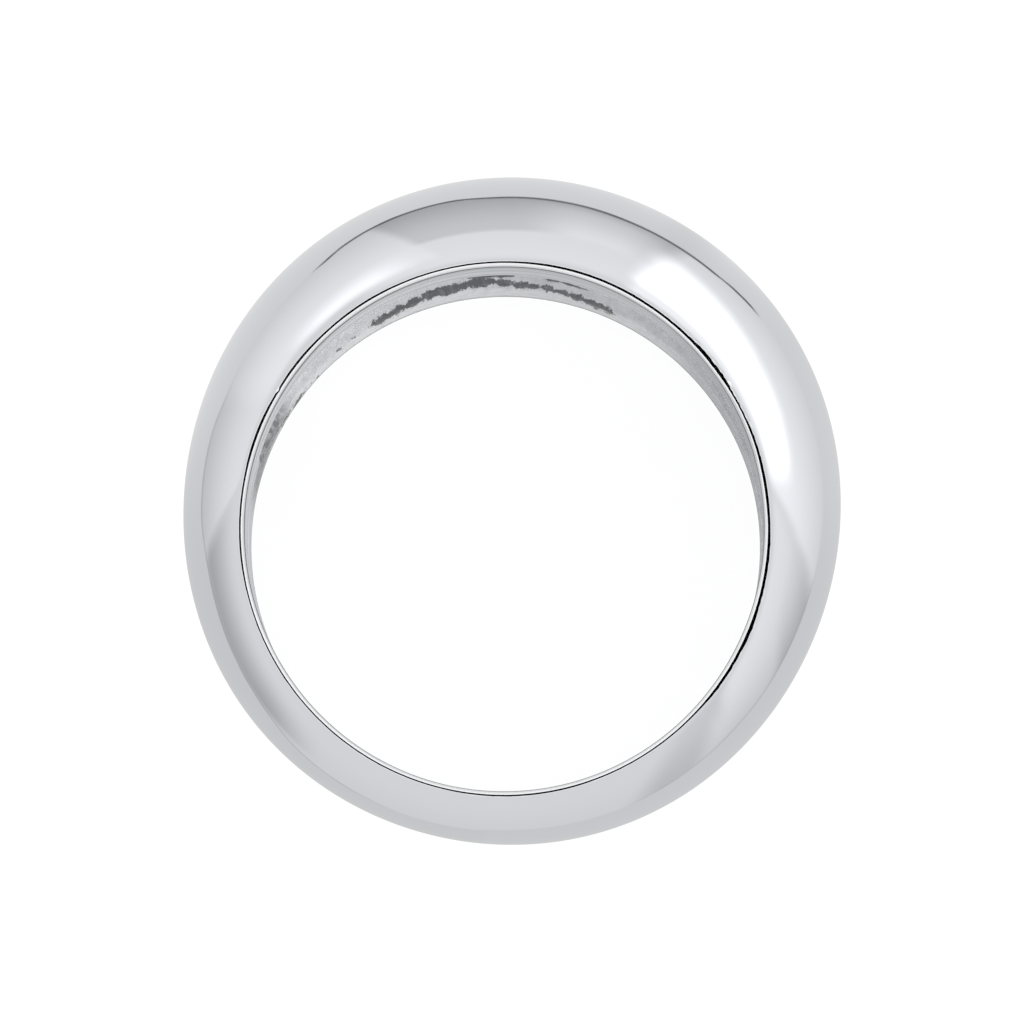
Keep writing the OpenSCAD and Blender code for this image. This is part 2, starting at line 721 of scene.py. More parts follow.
    def _bump(
        self,
        graph: Graph,
        here: Signal,
        across: Signal,
        along: Signal,
        radius: Signal,
        height: Signal,
        skin: Signal,
        grain: Signal,
    ) -> Signal:
        """Fine polishing lines round the ring, and the pitted skin in the hollow.

        Args:
            graph: The material's tree.
            here: Place on the ring's own axes, in millimetres.
            across: Sine of the angle from the crown.
            along: Cosine of the angle from the crown.
            radius: Distance from the middle of the finger hole, in millimetres.
            height: Place along the finger hole, in millimetres.
            skin: How much of the cast skin there is.
            grain: The cast skin's coarse grain.

        Returns:
            The bent normal.
        """
        stretch, pitch = self.line_stretch, self.line_pitch
        round_ring = graph.vector(across * stretch, along * stretch, height * pitch)
        lines = graph.noise(round_ring, self.line_grain, radius * pitch)
        polished = graph.node(
            "ShaderNodeBump",
            values={
                "Strength": self.line_strength,
                "Distance": self.line_depth,
                "Height": lines,
            },
        )
        pits = graph.noise(here, self.pit_grain)
        return graph.node(
            "ShaderNodeBump",
            values={
                "Strength": self.pit_strength,
                "Distance": self.pit_depth,
                "Height": (pits * self.pit_share + grain * self.grain_share) * skin,
                "Normal": polished,
            },
        )


@dataclass(frozen=True)
class RingPlace:
    """Where the ring lies: its lean on its rim, and the middle and radius of its finger hole."""

    lean: float
    centre: Vector
    hole_r: float

    def world(self, across: float, along: float, height: float) -> Vector:
        """A place in the row frame, from millimetres along the ring's own axes.

        Args:
            across: To the ring's side.
            along: Towards the crown.
            height: Along the finger hole.

        Returns:
            The place in metres.
        """
        turned = Matrix.Rotation(self.lean, 3, "X") @ Vector((across, along, height))
        return turned * MM + self.centre


@dataclass
class RingBand:
    """The whole band: dome, edges, ledges and hollow. Sizes are millimetres and degrees."""

    name: str = "ring_band"
    hole_d: float = 17.3
    crown_w: float = 11.0
    shank_w: float = 5.5
    crown_t: float = 3.55
    side_t: float = 2.35
    shank_t: float = 1.65
    shoulder_t: float = 0.06
    bevel_w: float = 0.11
    bevel_h: float = 0.2
    land_w: float = 0.08
    dome_start: float = 20.0
    hollow_wall: float = 1.4
    ledge_share: float = 0.27
    hollow_reach: float = 88.0
    lip_h: float = 0.15
    hollow_power: float = 0.7
    overlap: float = 0.3
    flat_share: float = 0.04
    land_steps: tuple[LandStep, ...] = (
        LandStep(-180, 0.95),
        LandStep(-150, 0.95),
        LandStep(-120, 0.95),
        LandStep(-108, 1.15),
        LandStep(-95, 1.14),
        LandStep(-88, 1.36),
        LandStep(-80, 1.47),
        LandStep(-72, 1.22),
        LandStep(-65, 1.4),
        LandStep(-56, 1.19),
        LandStep(-48, 1.25),
        LandStep(-41, 1.2),
        LandStep(-29, 1.06),
        LandStep(-16, 1.08),
        LandStep(-6, 1.25),
        LandStep(4, 1.35),
        LandStep(11, 1.28, 1.3),
        LandStep(16, 1.22, 1.75),
        LandStep(22, 1.12, 2.2),
        LandStep(28, 1.16, 2.2),
        LandStep(32, 1.24, 2.2),
        LandStep(37, 1.56, 2.2),
        LandStep(43, 1.46, 1.9),
        LandStep(49, 1.1, 1.15),
        LandStep(56, 1.36, 1),
        LandStep(62, 1.38, 1.5),
        LandStep(69, 1.34, 1.8),
        LandStep(77, 1.4, 1),
        LandStep(85, 1.6),
        LandStep(92, 1.52),
        LandStep(100, 1.84),
        LandStep(106, 1.52),
        LandStep(111, 1.52),
        LandStep(118, 1.12),
        LandStep(140, 0.95),
        LandStep(155, 1.05),
        LandStep(180, 0.95),
    )
    relief: float = 0.05
    seed: float = 7.0
    sections: int = 420
    crown_crowding: float = 0.3
    dome_steps: int = 120
    hollow_steps: int = 48
    finish: PolishedSilver = field(default_factory=PolishedSilver)

    # How the edges are rounded and filed, where their painted highlight is dimmed and painted shade
    # lines run, and how finely the strips are stepped
    edge_round: float = 0.035
    land_round: float = 0.008
    land_inner_round: float = 0.035
    corner_shift: float = 0.028
    corner_round: float = 0.05
    foot_round: float = 0.07
    dome_nudge: float = 0.15
    flat_snug: float = 0.29
    ledge_ease: float = 0.3
    hollow_ends: tuple[float, float] = (84.0, 98.0)
    filed_stretches: tuple[tuple[float, float, float], ...] = ((28.0, 58.0, 10.0), (84.0, 112.0, 8.0))
    file_beat: float = 50.0
    filed_depth: float = 0.06
    plain_depth: float = 0.015
    nick: tuple[float, float, float] = (-72.4, -71.6, 0.3)
    nick_share: float = 0.5
    # Where the painted highlight on the bevel is dimmed, then where painted shade lines run on the
    # bevel and the ledge
    dimmed_highlight_bevel: tuple[float, float, float] = (14.0, 72.0, 8.0)
    dimmed_highlight_fade: tuple[float, float] = (0.3, 0.9)
    dimmed_highlight_share: float = 0.75
    flat_highlight: float = 0.6
    flat_highlight_dimming: float = 0.45
    lined_bevel: tuple[float, float, float] = (-122.0, -52.0, 10.0)
    lined_fade: tuple[float, float] = (0.4, 0.9)
    lined_share: float = 0.9
    ledge_line: tuple[float, float] = (0.08, 0.2)
    ledge_line_share: float = 0.4
    relief_grain: Grain = Grain(2600.0, 3.0, 0.55)
    relief_edge: float = 0.05
    relief_mouth: float = 0.5
    corner_steps: int = 3
    flat_steps: int = 3
    bevel_steps: int = 8
    foot_steps: int = 4
    ledge_steps: int = 8
    lip_steps: int = 2

    skin_mark: ClassVar[str] = "cast_skin"
    relief_mark: ClassVar[str] = "relief_share"
    # The painted highlight on the edges, then the painted shade lines
    highlight_mark: ClassVar[str] = "bright_edge"
    shade_line_mark: ClassVar[str] = "bevel_foot"
    ledge_mark: ClassVar[str] = "past_lip"

    @property
    def hole_r(self) -> float:
        """Radius of the finger hole."""
        return self.hole_d / 2

    @property
    def land_in_r(self) -> float:
        """Radius of the land's inner edge, where the bevel begins."""
        return self.hole_r + self.bevel_w

    @property
    def mean_half_w(self) -> float:
        """Half the band's width halfway down each side of the ring."""
        return (self.crown_w + self.shank_w) / 4

    @property
    def side_slope(self) -> float:
        """Rise of the band's side planes towards the crown."""
        return (self.crown_w - self.shank_w) / 4 / self.land_in_r

    def place(self) -> RingPlace:
        """Finds where the ring lies, from the finger hole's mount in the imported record.

        Returns:
            The ring's place.
        """
        mounts = {mount["name"]: mount for mount in frame["record"]["mounts"]}
        middle = Vector(mounts["finger_hole"]["pos_m"])
        return RingPlace(math.atan(self.side_slope), middle, self.hole_r)

    def build(self) -> bpy.types.Object:
        """Makes the band's mesh with a node tree, and dresses it.

        Returns:
            The finished piece.
        """
        place = self.place()
        material = self.finish.make(place)
        tree = self._tree(place, material)
        holder = bpy.data.objects.new(self.name, bpy.data.meshes.new(self.name))
        bpy.context.scene.collection.objects.link(holder)
        modifier = holder.modifiers.new("Band", "NODES")
        modifier.node_group = tree
        for item in tree.interface.items_tree:
            if item.item_type == "SOCKET" and item.in_out == "INPUT":
                modifier[item.identifier] = self._sizes()[item.name]
        ready = holder.evaluated_get(bpy.context.evaluated_depsgraph_get())
        shape = bpy.data.meshes.new_from_object(ready)
        holder.modifiers.clear()
        holder.data = shape
        shape.name = self.name
        self._turn_faces_out(shape)
        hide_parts("band")
        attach(holder, "root")
        return holder

    def _sizes(self) -> dict[str, float]:
        """Lists the named inputs of the node tree.

        Returns:
            The value of each input, by name.
        """
        return {
            "Finger hole radius": self.hole_r,
            "Crown thickness": self.crown_t,
            "Side thickness": self.side_t,
            "Back thickness": self.shank_t,
            "Shoulder thickness": self.shoulder_t,
            "Mean half width": self.mean_half_w,
            "Side slope": self.side_slope,
            "Bevel width": self.bevel_w,
            "Bevel depth": self.bevel_h,
            "Land width": self.land_w,
            "Metal over the hollow": self.hollow_wall,
            "Ledge share": self.ledge_share,
            "Lip height": self.lip_h,
            "Cast relief": self.relief,
            "Relief seed": self.seed,
        }

    @staticmethod
    def _turn_faces_out(shape: bpy.types.Mesh) -> None:
        """Points all faces outwards and shades them smoothly.

        Args:
            shape: The band's mesh.
        """
        work = bmesh.new()
        work.from_mesh(shape)
        bmesh.ops.dissolve_degenerate(work, dist=TINY_EDGE, edges=work.edges)
        bare = [edge for edge in work.edges if not edge.link_faces]
        bmesh.ops.delete(work, geom=bare, context="EDGES")
        bmesh.ops.recalc_face_normals(work, faces=work.faces)
        for face in work.faces:
            face.smooth = True
        open_edges = sum(not edge.is_manifold for edge in work.edges)
        work.to_mesh(shape)
        work.free()
        log.info("band: %d faces, %d open edges", len(shape.polygons), open_edges)

    def _tree(self, place: RingPlace, material: bpy.types.Material) -> bpy.types.NodeTree:
        """Builds the geometry nodes.

        Args:
            place: Where the ring lies.
            material: The band's material.

        Returns:
            The node tree, with one named input for each size.
        """
        tree = bpy.data.node_groups.new("Domed band", "GeometryNodeTree")
        for name in self._sizes():
            tree.interface.new_socket(name, in_out="INPUT", socket_type="NodeSocketFloat")
        tree.interface.new_socket("Geometry", in_out="OUTPUT", socket_type="NodeSocketGeometry")
        graph = Graph(tree)
        BandSection(graph, self).lay(place, material)
        return tree


class BandSection:
    """The band's section as a rule of the angle from the crown, swept into strips of mesh."""

    def __init__(self, graph: Graph, band: RingBand) -> None:
        """Collects the tree's named inputs and the angle round the ring.

        Args:
            graph: The tree under construction.
            band: The band whose steps and fixed shares are used.
        """
        self.graph = graph
        self.band = band
        inputs = graph.tree.nodes.new("NodeGroupInput")
        size = {socket.name: Signal(graph, socket) for socket in inputs.outputs if socket.name}
        self.hole_r = size["Finger hole radius"]
        self.crown_t = size["Crown thickness"]
        self.side_t = size["Side thickness"]
        self.back_t = size["Back thickness"]
        self.shoulder_t = size["Shoulder thickness"]
        self.mean_half_w = size["Mean half width"]
        self.side_slope = size["Side slope"]
        self.bevel_w = size["Bevel width"]
        self.bevel_h = size["Bevel depth"]
        self.land_w = size["Land width"]
        self.wall = size["Metal over the hollow"]
        self.ledge_share = size["Ledge share"]
        self.lip_h = size["Lip height"]
        self.relief = size["Cast relief"]
        self.seed = size["Relief seed"]

        spot = graph.node("GeometryNodeInputPosition")
        full_turn = 2 * math.pi
        even = graph.node("ShaderNodeSeparateXYZ", values={0: spot}, output="X") * full_turn
        self.step = graph.node("ShaderNodeSeparateXYZ", values={0: spot}, output="Y") + 0.5
        self.turn = even - graph.sine(even) * band.crown_crowding
        self.degrees = self.turn * (180 / math.pi)
        self.cos_turn = graph.cosine(self.turn)
        self.thickness = self._thickness()
        self.land_in_r = self.hole_r + self.bevel_w
        widths = [(step.turn, step.width) for step in band.land_steps]
        cuts = [(step.turn, step.cut) for step in band.land_steps]
        self.land_out_r = self.land_in_r + self.land_w * graph.round_ring(self.degrees, widths)
        self.land_cut = graph.round_ring(self.degrees, cuts)
        self.file_marks = self._file_marks()
        self.share = self._hollow_share()

    def _thickness(self) -> Signal:
        """Works out how thick the band is.

        Returns:
            Its thickness at each angle from the crown.
        """
        swing = (self.crown_t - self.back_t) / 2
        middle = (self.crown_t + self.back_t) / 2
        twice = self.graph.cosine(self.turn * 2)
        round_band = (middle + self.side_t) / 2 + swing * self.cos_turn
        shoulders = self.shoulder_t * (1 - twice * twice)
        return round_band + (middle - self.side_t) / 2 * twice + shoulders

    def _file_marks(self) -> Signal:
        """Files and nicks the land along the dome's edge.

        Returns:
            How far the edge moves out at each angle, in millimetres.
        """
        graph, band = self.graph, self.band
        first, second = (graph.window(self.degrees, *run) for run in band.filed_stretches)
        beat = graph.noise_line(self.turn * band.file_beat, detail=2.0)
        nick = graph.window(self.degrees, *band.nick) * (self.land_out_r - self.land_in_r)
        depth = (first + second) * band.filed_depth + band.plain_depth
        return (beat - 0.5) * depth - nick * band.nick_share

    def _hollow_share(self) -> Signal:
        """Works out how far the hollow is cut.

        Returns:
            The share of its full depth that it has at each angle from the crown.
        """
        reach = math.radians(self.band.hollow_reach)
        fall = (self.turn / reach) ** 2
        room = self.graph.most(1 - fall * fall, 0.0)
        return self.graph.most(self.graph.maths("SQRT", room), self.band.flat_share)

    def side_plane(self, radius: Operand) -> Signal:
        """Height of the band's side above its middle, at a radius."""
        return self.mean_half_w + self.side_slope * radius * self.cos_turn

    def dome(self, lift: Operand) -> SectionPoint:
        """A place on the dome.

        Args:
            lift: Angle on the dome's oval, in radians, from one land to the other.

        Returns:
            The place on the section.
        """
        graph = self.graph
        start = math.radians(self.band.dome_start)
        rise = self.hole_r + self.thickness - self.land_out_r
        up = (graph.sine(lift) - math.sin(start)) / (1 - math.sin(start))
        return SectionPoint(
            self.land_out_r + rise * up,
            self.side_plane(self.land_out_r) * graph.cosine(lift) / math.cos(start),
        )

    def flat(self, start: SectionPoint, end: SectionPoint) -> SectionPoint:
        """A straight line in three steps, the outer ones short, so that it is shaded flat."""
        snug = self.step - self.graph.sine(self.step * (2 * math.pi)) * self.band.flat_snug
        return start.towards(end, snug)

    def bend(self, start: SectionPoint, corner: SectionPoint, end: SectionPoint) -> SectionPoint:
        """A rounded corner between two places, along the strip's steps.

        Args:
            start: Where the rounding begins.
            corner: The sharp corner that it takes off.
            end: Where it ends.

        Returns:
            The place on the section.
        """
        first = start.towards(corner, self.step)
        last = corner.towards(end, self.step)
        return first.towards(last, self.step)

    def strip(
        self,
        steps: int,
        place: RingPlace,
        point: SectionPoint,
        marks: dict[str, Operand] | None = None,
    ) -> Signal:
        """One strip of mesh round the whole ring.

        Args:
            steps: Faces across the strip.
            place: Where the ring lies.
            point: The place of each of the strip's vertices on the section.
            marks: Values kept on the vertices, by name.

        Returns:
            The strip's geometry.
        """
        graph = self.graph
        sheet = graph.node(
            "GeometryNodeMeshGrid",
            values={
                "Size X": 1.0,
                "Size Y": 1.0,
                "Vertices X": self.band.sections + 1,
                "Vertices Y": steps + 1,
            },
        )
        for name, value in (marks or {}).items():
            sheet = graph.node(
                "GeometryNodeStoreNamedAttribute",
                {"data_type": "FLOAT", "domain": "POINT"},
                {"Geometry": sheet, "Name": name, "Value": value},
            )
        local = graph.vector(
            point.radius * graph.sine(self.turn), point.radius * self.cos_turn, point.height
        )
        leant = graph.node(
            "ShaderNodeVectorRotate",
            {"rotation_type": "X_AXIS"},
            {"Vector": local, "Angle": place.lean},
        )
        sized = graph.node("ShaderNodeVectorMath", {"operation": "SCALE"}, {0: leant, "Scale": MM})
        placed = graph.node(
            "ShaderNodeVectorMath", {"operation": "ADD"}, {0: sized, 1: tuple(place.centre)}
        )
        return graph.node("GeometryNodeSetPosition", values={"Geometry": sheet, "Position": placed})

    def bore_edge(self, sign: float) -> SectionPoint:
        """Where the rounding below the bevel meets the finger hole's wall.

        Args:
            sign: 1 on the upper side of the band, -1 on the lower.

        Returns:
            The place on the section.
        """
        height = self.side_plane(self.land_in_r) - self.bevel_h - self.band.edge_round
        return SectionPoint(self.hole_r, height * sign)

    def mouth_half_w(self) -> Signal:
        """Half the width that the hollow's mouth has before the finger hole cuts its arch."""
        return self.side_plane(self.hole_r) * (1 - 2 * self.ledge_share) * (1 + self.share) / 2

    def hollow_corner(self) -> tuple[Signal, Signal, Signal, Signal]:
        """The hollow's mouth at each angle.

        Returns:
            Half the mouth's width, the angle on the arch where the arch leaves the finger
            hole's wall, the arch's foot and its height.
        """
        graph = self.graph
        power = self.band.hollow_power
        half_w = self.mouth_half_w()
        lip = (self.lip_h + self.band.overlap) * self.share
        arch = (self.thickness + self.band.overlap - self.wall) * self.share - lip
        foot = self.hole_r - self.band.overlap + lip
        bare = graph.most(graph.least((self.band.overlap - lip) / arch, 1.0), 0.0)
        start = graph.maths("ARCSINE", bare ** (1 / power))
        mouth = half_w * graph.most(graph.cosine(start), 0.0) ** power
        return mouth, start, foot, arch

    def hollow_point(self, side_w: Signal, start: Signal, foot: Signal, arch: Signal) -> SectionPoint:
        """A place on the hollow's arch, along the strip's steps.

        Args:
            side_w: Half the mouth's width before the arch is cut by the finger hole.
            start: Angle on the arch at its foot.
            foot: Radius of the arch's foot.
            arch: Height of the arch.

        Returns:
            The place on the section.
        """
        graph = self.graph
        power = self.band.hollow_power
        side = graph.maths("SIGN", 0.5 - self.step)
        half_step = 1 - abs(1 - self.step * 2)
        fold = 1 - abs(1 - half_step * 2)
        eased = graph.most(fold, 0.0) ** (1 / power) / 2
        past = graph.maths("GREATER_THAN", half_step, 0.5)
        quarter = eased + past * (1 - eased * 2)
        lift = start + (math.pi / 2 - start) * quarter
        sine = graph.most(graph.least(graph.sine(lift), 1.0), 0.0)
        cosine = graph.most(graph.least(graph.cosine(lift), 1.0), 0.0)
        return SectionPoint(
            graph.most(foot + arch * sine**power, self.hole_r),
            side * side_w * cosine**power,
        )

    def lay(self, place: RingPlace, material: bpy.types.Material) -> None:
        """Lays all strips, joins them and gives them their material.

        Args:
            place: Where the ring lies.
            material: The band's material.
        """
        graph = self.graph
        band = self.band
        start = math.radians(band.dome_start)
        nudge = math.radians(band.dome_nudge)
        span = math.pi - 2 * (start + nudge)
        strips = [self.strip(band.dome_steps, place, self.dome(self.step * span + start + nudge))]
        mouth, arch_start, foot, arch = self.hollow_corner()
        half_w = self.mouth_half_w()
        ease = graph.least(mouth / band.ledge_ease, 1.0) * band.edge_round
        under_dome = graph.ramp(abs(self.degrees), *band.hollow_ends, 1.0, 0.0)
        for side in Side:
            strips += self._edge_strips(place, side, nudge)
            lip_edge = SectionPoint(self.hole_r, mouth * side.value)
            on_ledge = SectionPoint(self.hole_r, (mouth + ease) * side.value)
            on_lip = SectionPoint(
                graph.most(graph.least(foot, self.hole_r + ease), self.hole_r),
                mouth * side.value,
            )
            foot_edge = SectionPoint(graph.most(foot, self.hole_r), mouth * side.value)
            upper = 1.0 if side is Side.UPPER else 0.0
            cast = under_dome * (1.0 - upper)
            on_wall = self.bore_edge(side.value).towards(on_ledge, self.step)
            # A painted shade line across the lower ledge near the rim, where the hollow is under the
            # dome
            line = graph.ramp(self.step, *band.ledge_line, band.ledge_line_share, 0.0)
            ledge_marks = {
                band.skin_mark: cast,
                band.shade_line_mark: line * cast,
                band.ledge_mark: (abs(on_wall.height) - mouth) * (1.0 - upper),
            }
            # The upper lip's edge gets the painted highlight
            lip_marks = {band.highlight_mark: upper, band.skin_mark: cast}
            lip_bend = self.bend(on_ledge, lip_edge, on_lip)
            lip_wall = on_lip.towards(foot_edge, self.step)
            strips += [
                self.strip(band.ledge_steps, place, on_wall, ledge_marks),
                self.strip(band.corner_steps, place, lip_bend, lip_marks),
                self.strip(band.lip_steps, place, lip_wall, {band.skin_mark: 1.0}),
            ]
        inside = graph.ramp(graph.least(self.step, 1 - self.step), 0.0, band.relief_edge)
        relief = inside * graph.ramp(mouth, 0.0, band.relief_mouth)
        hollow = self.strip(
            band.hollow_steps,
            place,
            self.hollow_point(half_w, arch_start, foot, arch),
            {band.skin_mark: 1.0, band.relief_mark: relief},
        )
        strips.append(self._cast(hollow))
        joined = graph.node("GeometryNodeJoinGeometry", values={"Geometry": strips})
        welded = graph.node(
            "GeometryNodeMergeByDistance", values={"Geometry": joined, "Distance": WELD}
        )
        plain = graph.node(
            "GeometryNodeRemoveAttribute", values={"Geometry": welded, "Name": band.relief_mark}
        )
        real = graph.node("GeometryNodeRealizeInstances", values={"Geometry": plain})
        dressed = graph.node(
            "GeometryNodeSetMaterial", values={"Geometry": real, "Material": material}
        )
        graph.node("NodeGroupOutput", values={0: dressed})

    def _edge_strips(self, place: RingPlace, side: Side, nudge: float) -> list[Signal]:
        """The strips from the dome's edge over the land and the bevel into the finger hole.

        Args:
            place: Where the ring lies.
            side: Which side of the band.
            nudge: Angle that the dome's strip leaves free for the rounded corner.

        Returns:
            The strips of that side.
        """
        band = self.band
        sign = side.value
        edge_r = self.land_out_r + self.file_marks
        flat = SectionPoint(edge_r, self.side_plane(edge_r) * sign)
        corner_r = self.land_in_r - self.land_cut * band.corner_shift
        inner = SectionPoint(corner_r, self.side_plane(corner_r) * sign)
        deep = SectionPoint(self.hole_r, (self.side_plane(self.land_in_r) - self.bevel_h) * sign)
        lift = math.radians(band.dome_start) + nudge
        dome_edge = self.dome(lift if side is Side.UPPER else math.pi - lift)
        land_w = self.land_out_r - self.land_in_r
        on_land = flat.towards(inner, band.land_round / land_w)
        land_end = inner.towards(flat, band.land_inner_round / land_w)
        bevel_start = inner.towards(deep, band.corner_round / band.bevel_h)
        bevel_end = deep.towards(inner, band.foot_round / band.bevel_h)
        on_bore = self.bore_edge(sign)
        # The bevel's rounded edge gets the painted highlight, dimmed over one stretch; its flat gets a
        # weaker one, and a painted shade line over another stretch
        dimmed = self.graph.window(self.degrees, *band.dimmed_highlight_bevel)
        fading = self.graph.ramp(self.step, *band.dimmed_highlight_fade)
        highlight = {band.highlight_mark: 1.0 - dimmed * fading * band.dimmed_highlight_share}
        lined = self.graph.window(self.degrees, *band.lined_bevel)
        growing = self.graph.ramp(self.step, *band.lined_fade)
        flat_marks = {
            band.highlight_mark: band.flat_highlight - dimmed * band.flat_highlight_dimming,
            band.shade_line_mark: lined * growing * band.lined_share,
        }
        bevel_corner = self.bend(land_end, inner, bevel_start)
        bevel_foot = self.bend(bevel_end, deep, on_bore)
        return [
            self.strip(band.corner_steps, place, self.bend(dome_edge, flat, on_land)),
            self.strip(band.flat_steps, place, self.flat(on_land, land_end)),
            self.strip(band.bevel_steps, place, bevel_corner, highlight),
            self.strip(band.flat_steps, place, self.flat(bevel_start, bevel_end), flat_marks),
            # The bevel's foot gets the painted shade line all round
            self.strip(band.foot_steps, place, bevel_foot, {band.shade_line_mark: 1.0}),
        ]

    def _cast(self, hollow: Signal) -> Signal:
        """Roughens the hollow like a cast skin.

        Args:
            hollow: The hollow's smooth strip.

        Returns:
            The strip with its relief.
        """
        graph = self.graph
        share = graph.node(
            "GeometryNodeInputNamedAttribute",
            {"data_type": "FLOAT"},
            {"Name": RingBand.relief_mark},
            "Attribute",
        )
        here = graph.node("GeometryNodeInputPosition")
        lumps = graph.noise(here, self.band.relief_grain, self.seed)
        facing = graph.node("GeometryNodeInputNormal")
        push = graph.node(
            "ShaderNodeVectorMath",
            {"operation": "SCALE"},
            {0: facing, "Scale": (lumps - 0.5) * self.relief * MM * share * 2},
        )
        return graph.node("GeometryNodeSetPosition", values={"Geometry": hollow, "Offset": push})


@dataclass(frozen=True)
class SoftPanel:
    """One lit or shaded stretch of the studio's white surround.

    Angles are degrees: round the view from the picture's right, and away from the camera.
    Levels are the greys that the polished metal shows, from 0 to 1. Leans are degrees that an
    edge moves for each degree along it, so that a panel needn't be square to the view. The end
    is as soft as the start unless end_soft says otherwise.
    """

    start: float
    end: float
    top: float
    bottom: float
    top_level: float
    bottom_level: float
    side_soft: float = 3.0
    top_soft: float = 4.0
    bottom_soft: float = 4.0
    start_lean: float = 0.0
    end_lean: float = 0.0
    top_lean: float = 0.0
    bottom_lean: float = 0.0
    end_soft: float = 0.0

    def over(self, graph: Graph, below: Operand, around: Signal, away: Signal) -> Signal:
        """Lays the panel over what is already there.

        Args:
            graph: The world's tree.
            below: The level without this panel.
            around: Angle round the view.
            away: Angle away from the camera.

        Returns:
            The level with the panel.
        """
        fall = away - 90
        run = around - (self.start + self.end) / 2
        end_soft = self.end_soft or self.side_soft
        inside = (
            self._edge(graph, around, self.start, self.side_soft, fall, self.start_lean)
            * (1 - self._edge(graph, around, self.end, end_soft, fall, self.end_lean))
            * self._edge(graph, away, self.top, self.top_soft, run, self.top_lean)
            * (1 - self._edge(graph, away, self.bottom, self.bottom_soft, run, self.bottom_lean))
        )
        level = graph.ramp(away, self.top, self.bottom, self.top_level, self.bottom_level)
        return graph.blend(inside, below, level)

    @staticmethod
    def _edge(
        graph: Graph, value: Signal, place: float, soft: float, run: Signal, lean: float
    ) -> Signal:
        """One soft edge.

        Args:
            graph: The world's tree.
            value: The angle across the edge.
            place: Where the edge is.
            soft: How far it is spread to either side.
            run: The angle along the edge, from its middle.
            lean: How much the edge moves for each degree along it.

        Returns:
            How far the angle is past the edge, from 0 to 1.
        """
        straight = value - run * lean if lean else value
        return graph.ramp(straight, place - soft, place + soft)


@dataclass(frozen=True)
class SeamStretch:
    """Where the seam round the floor shows, in degrees round the view, and how strongly."""

    start: float
    end: float
    soft: float
    strength: float


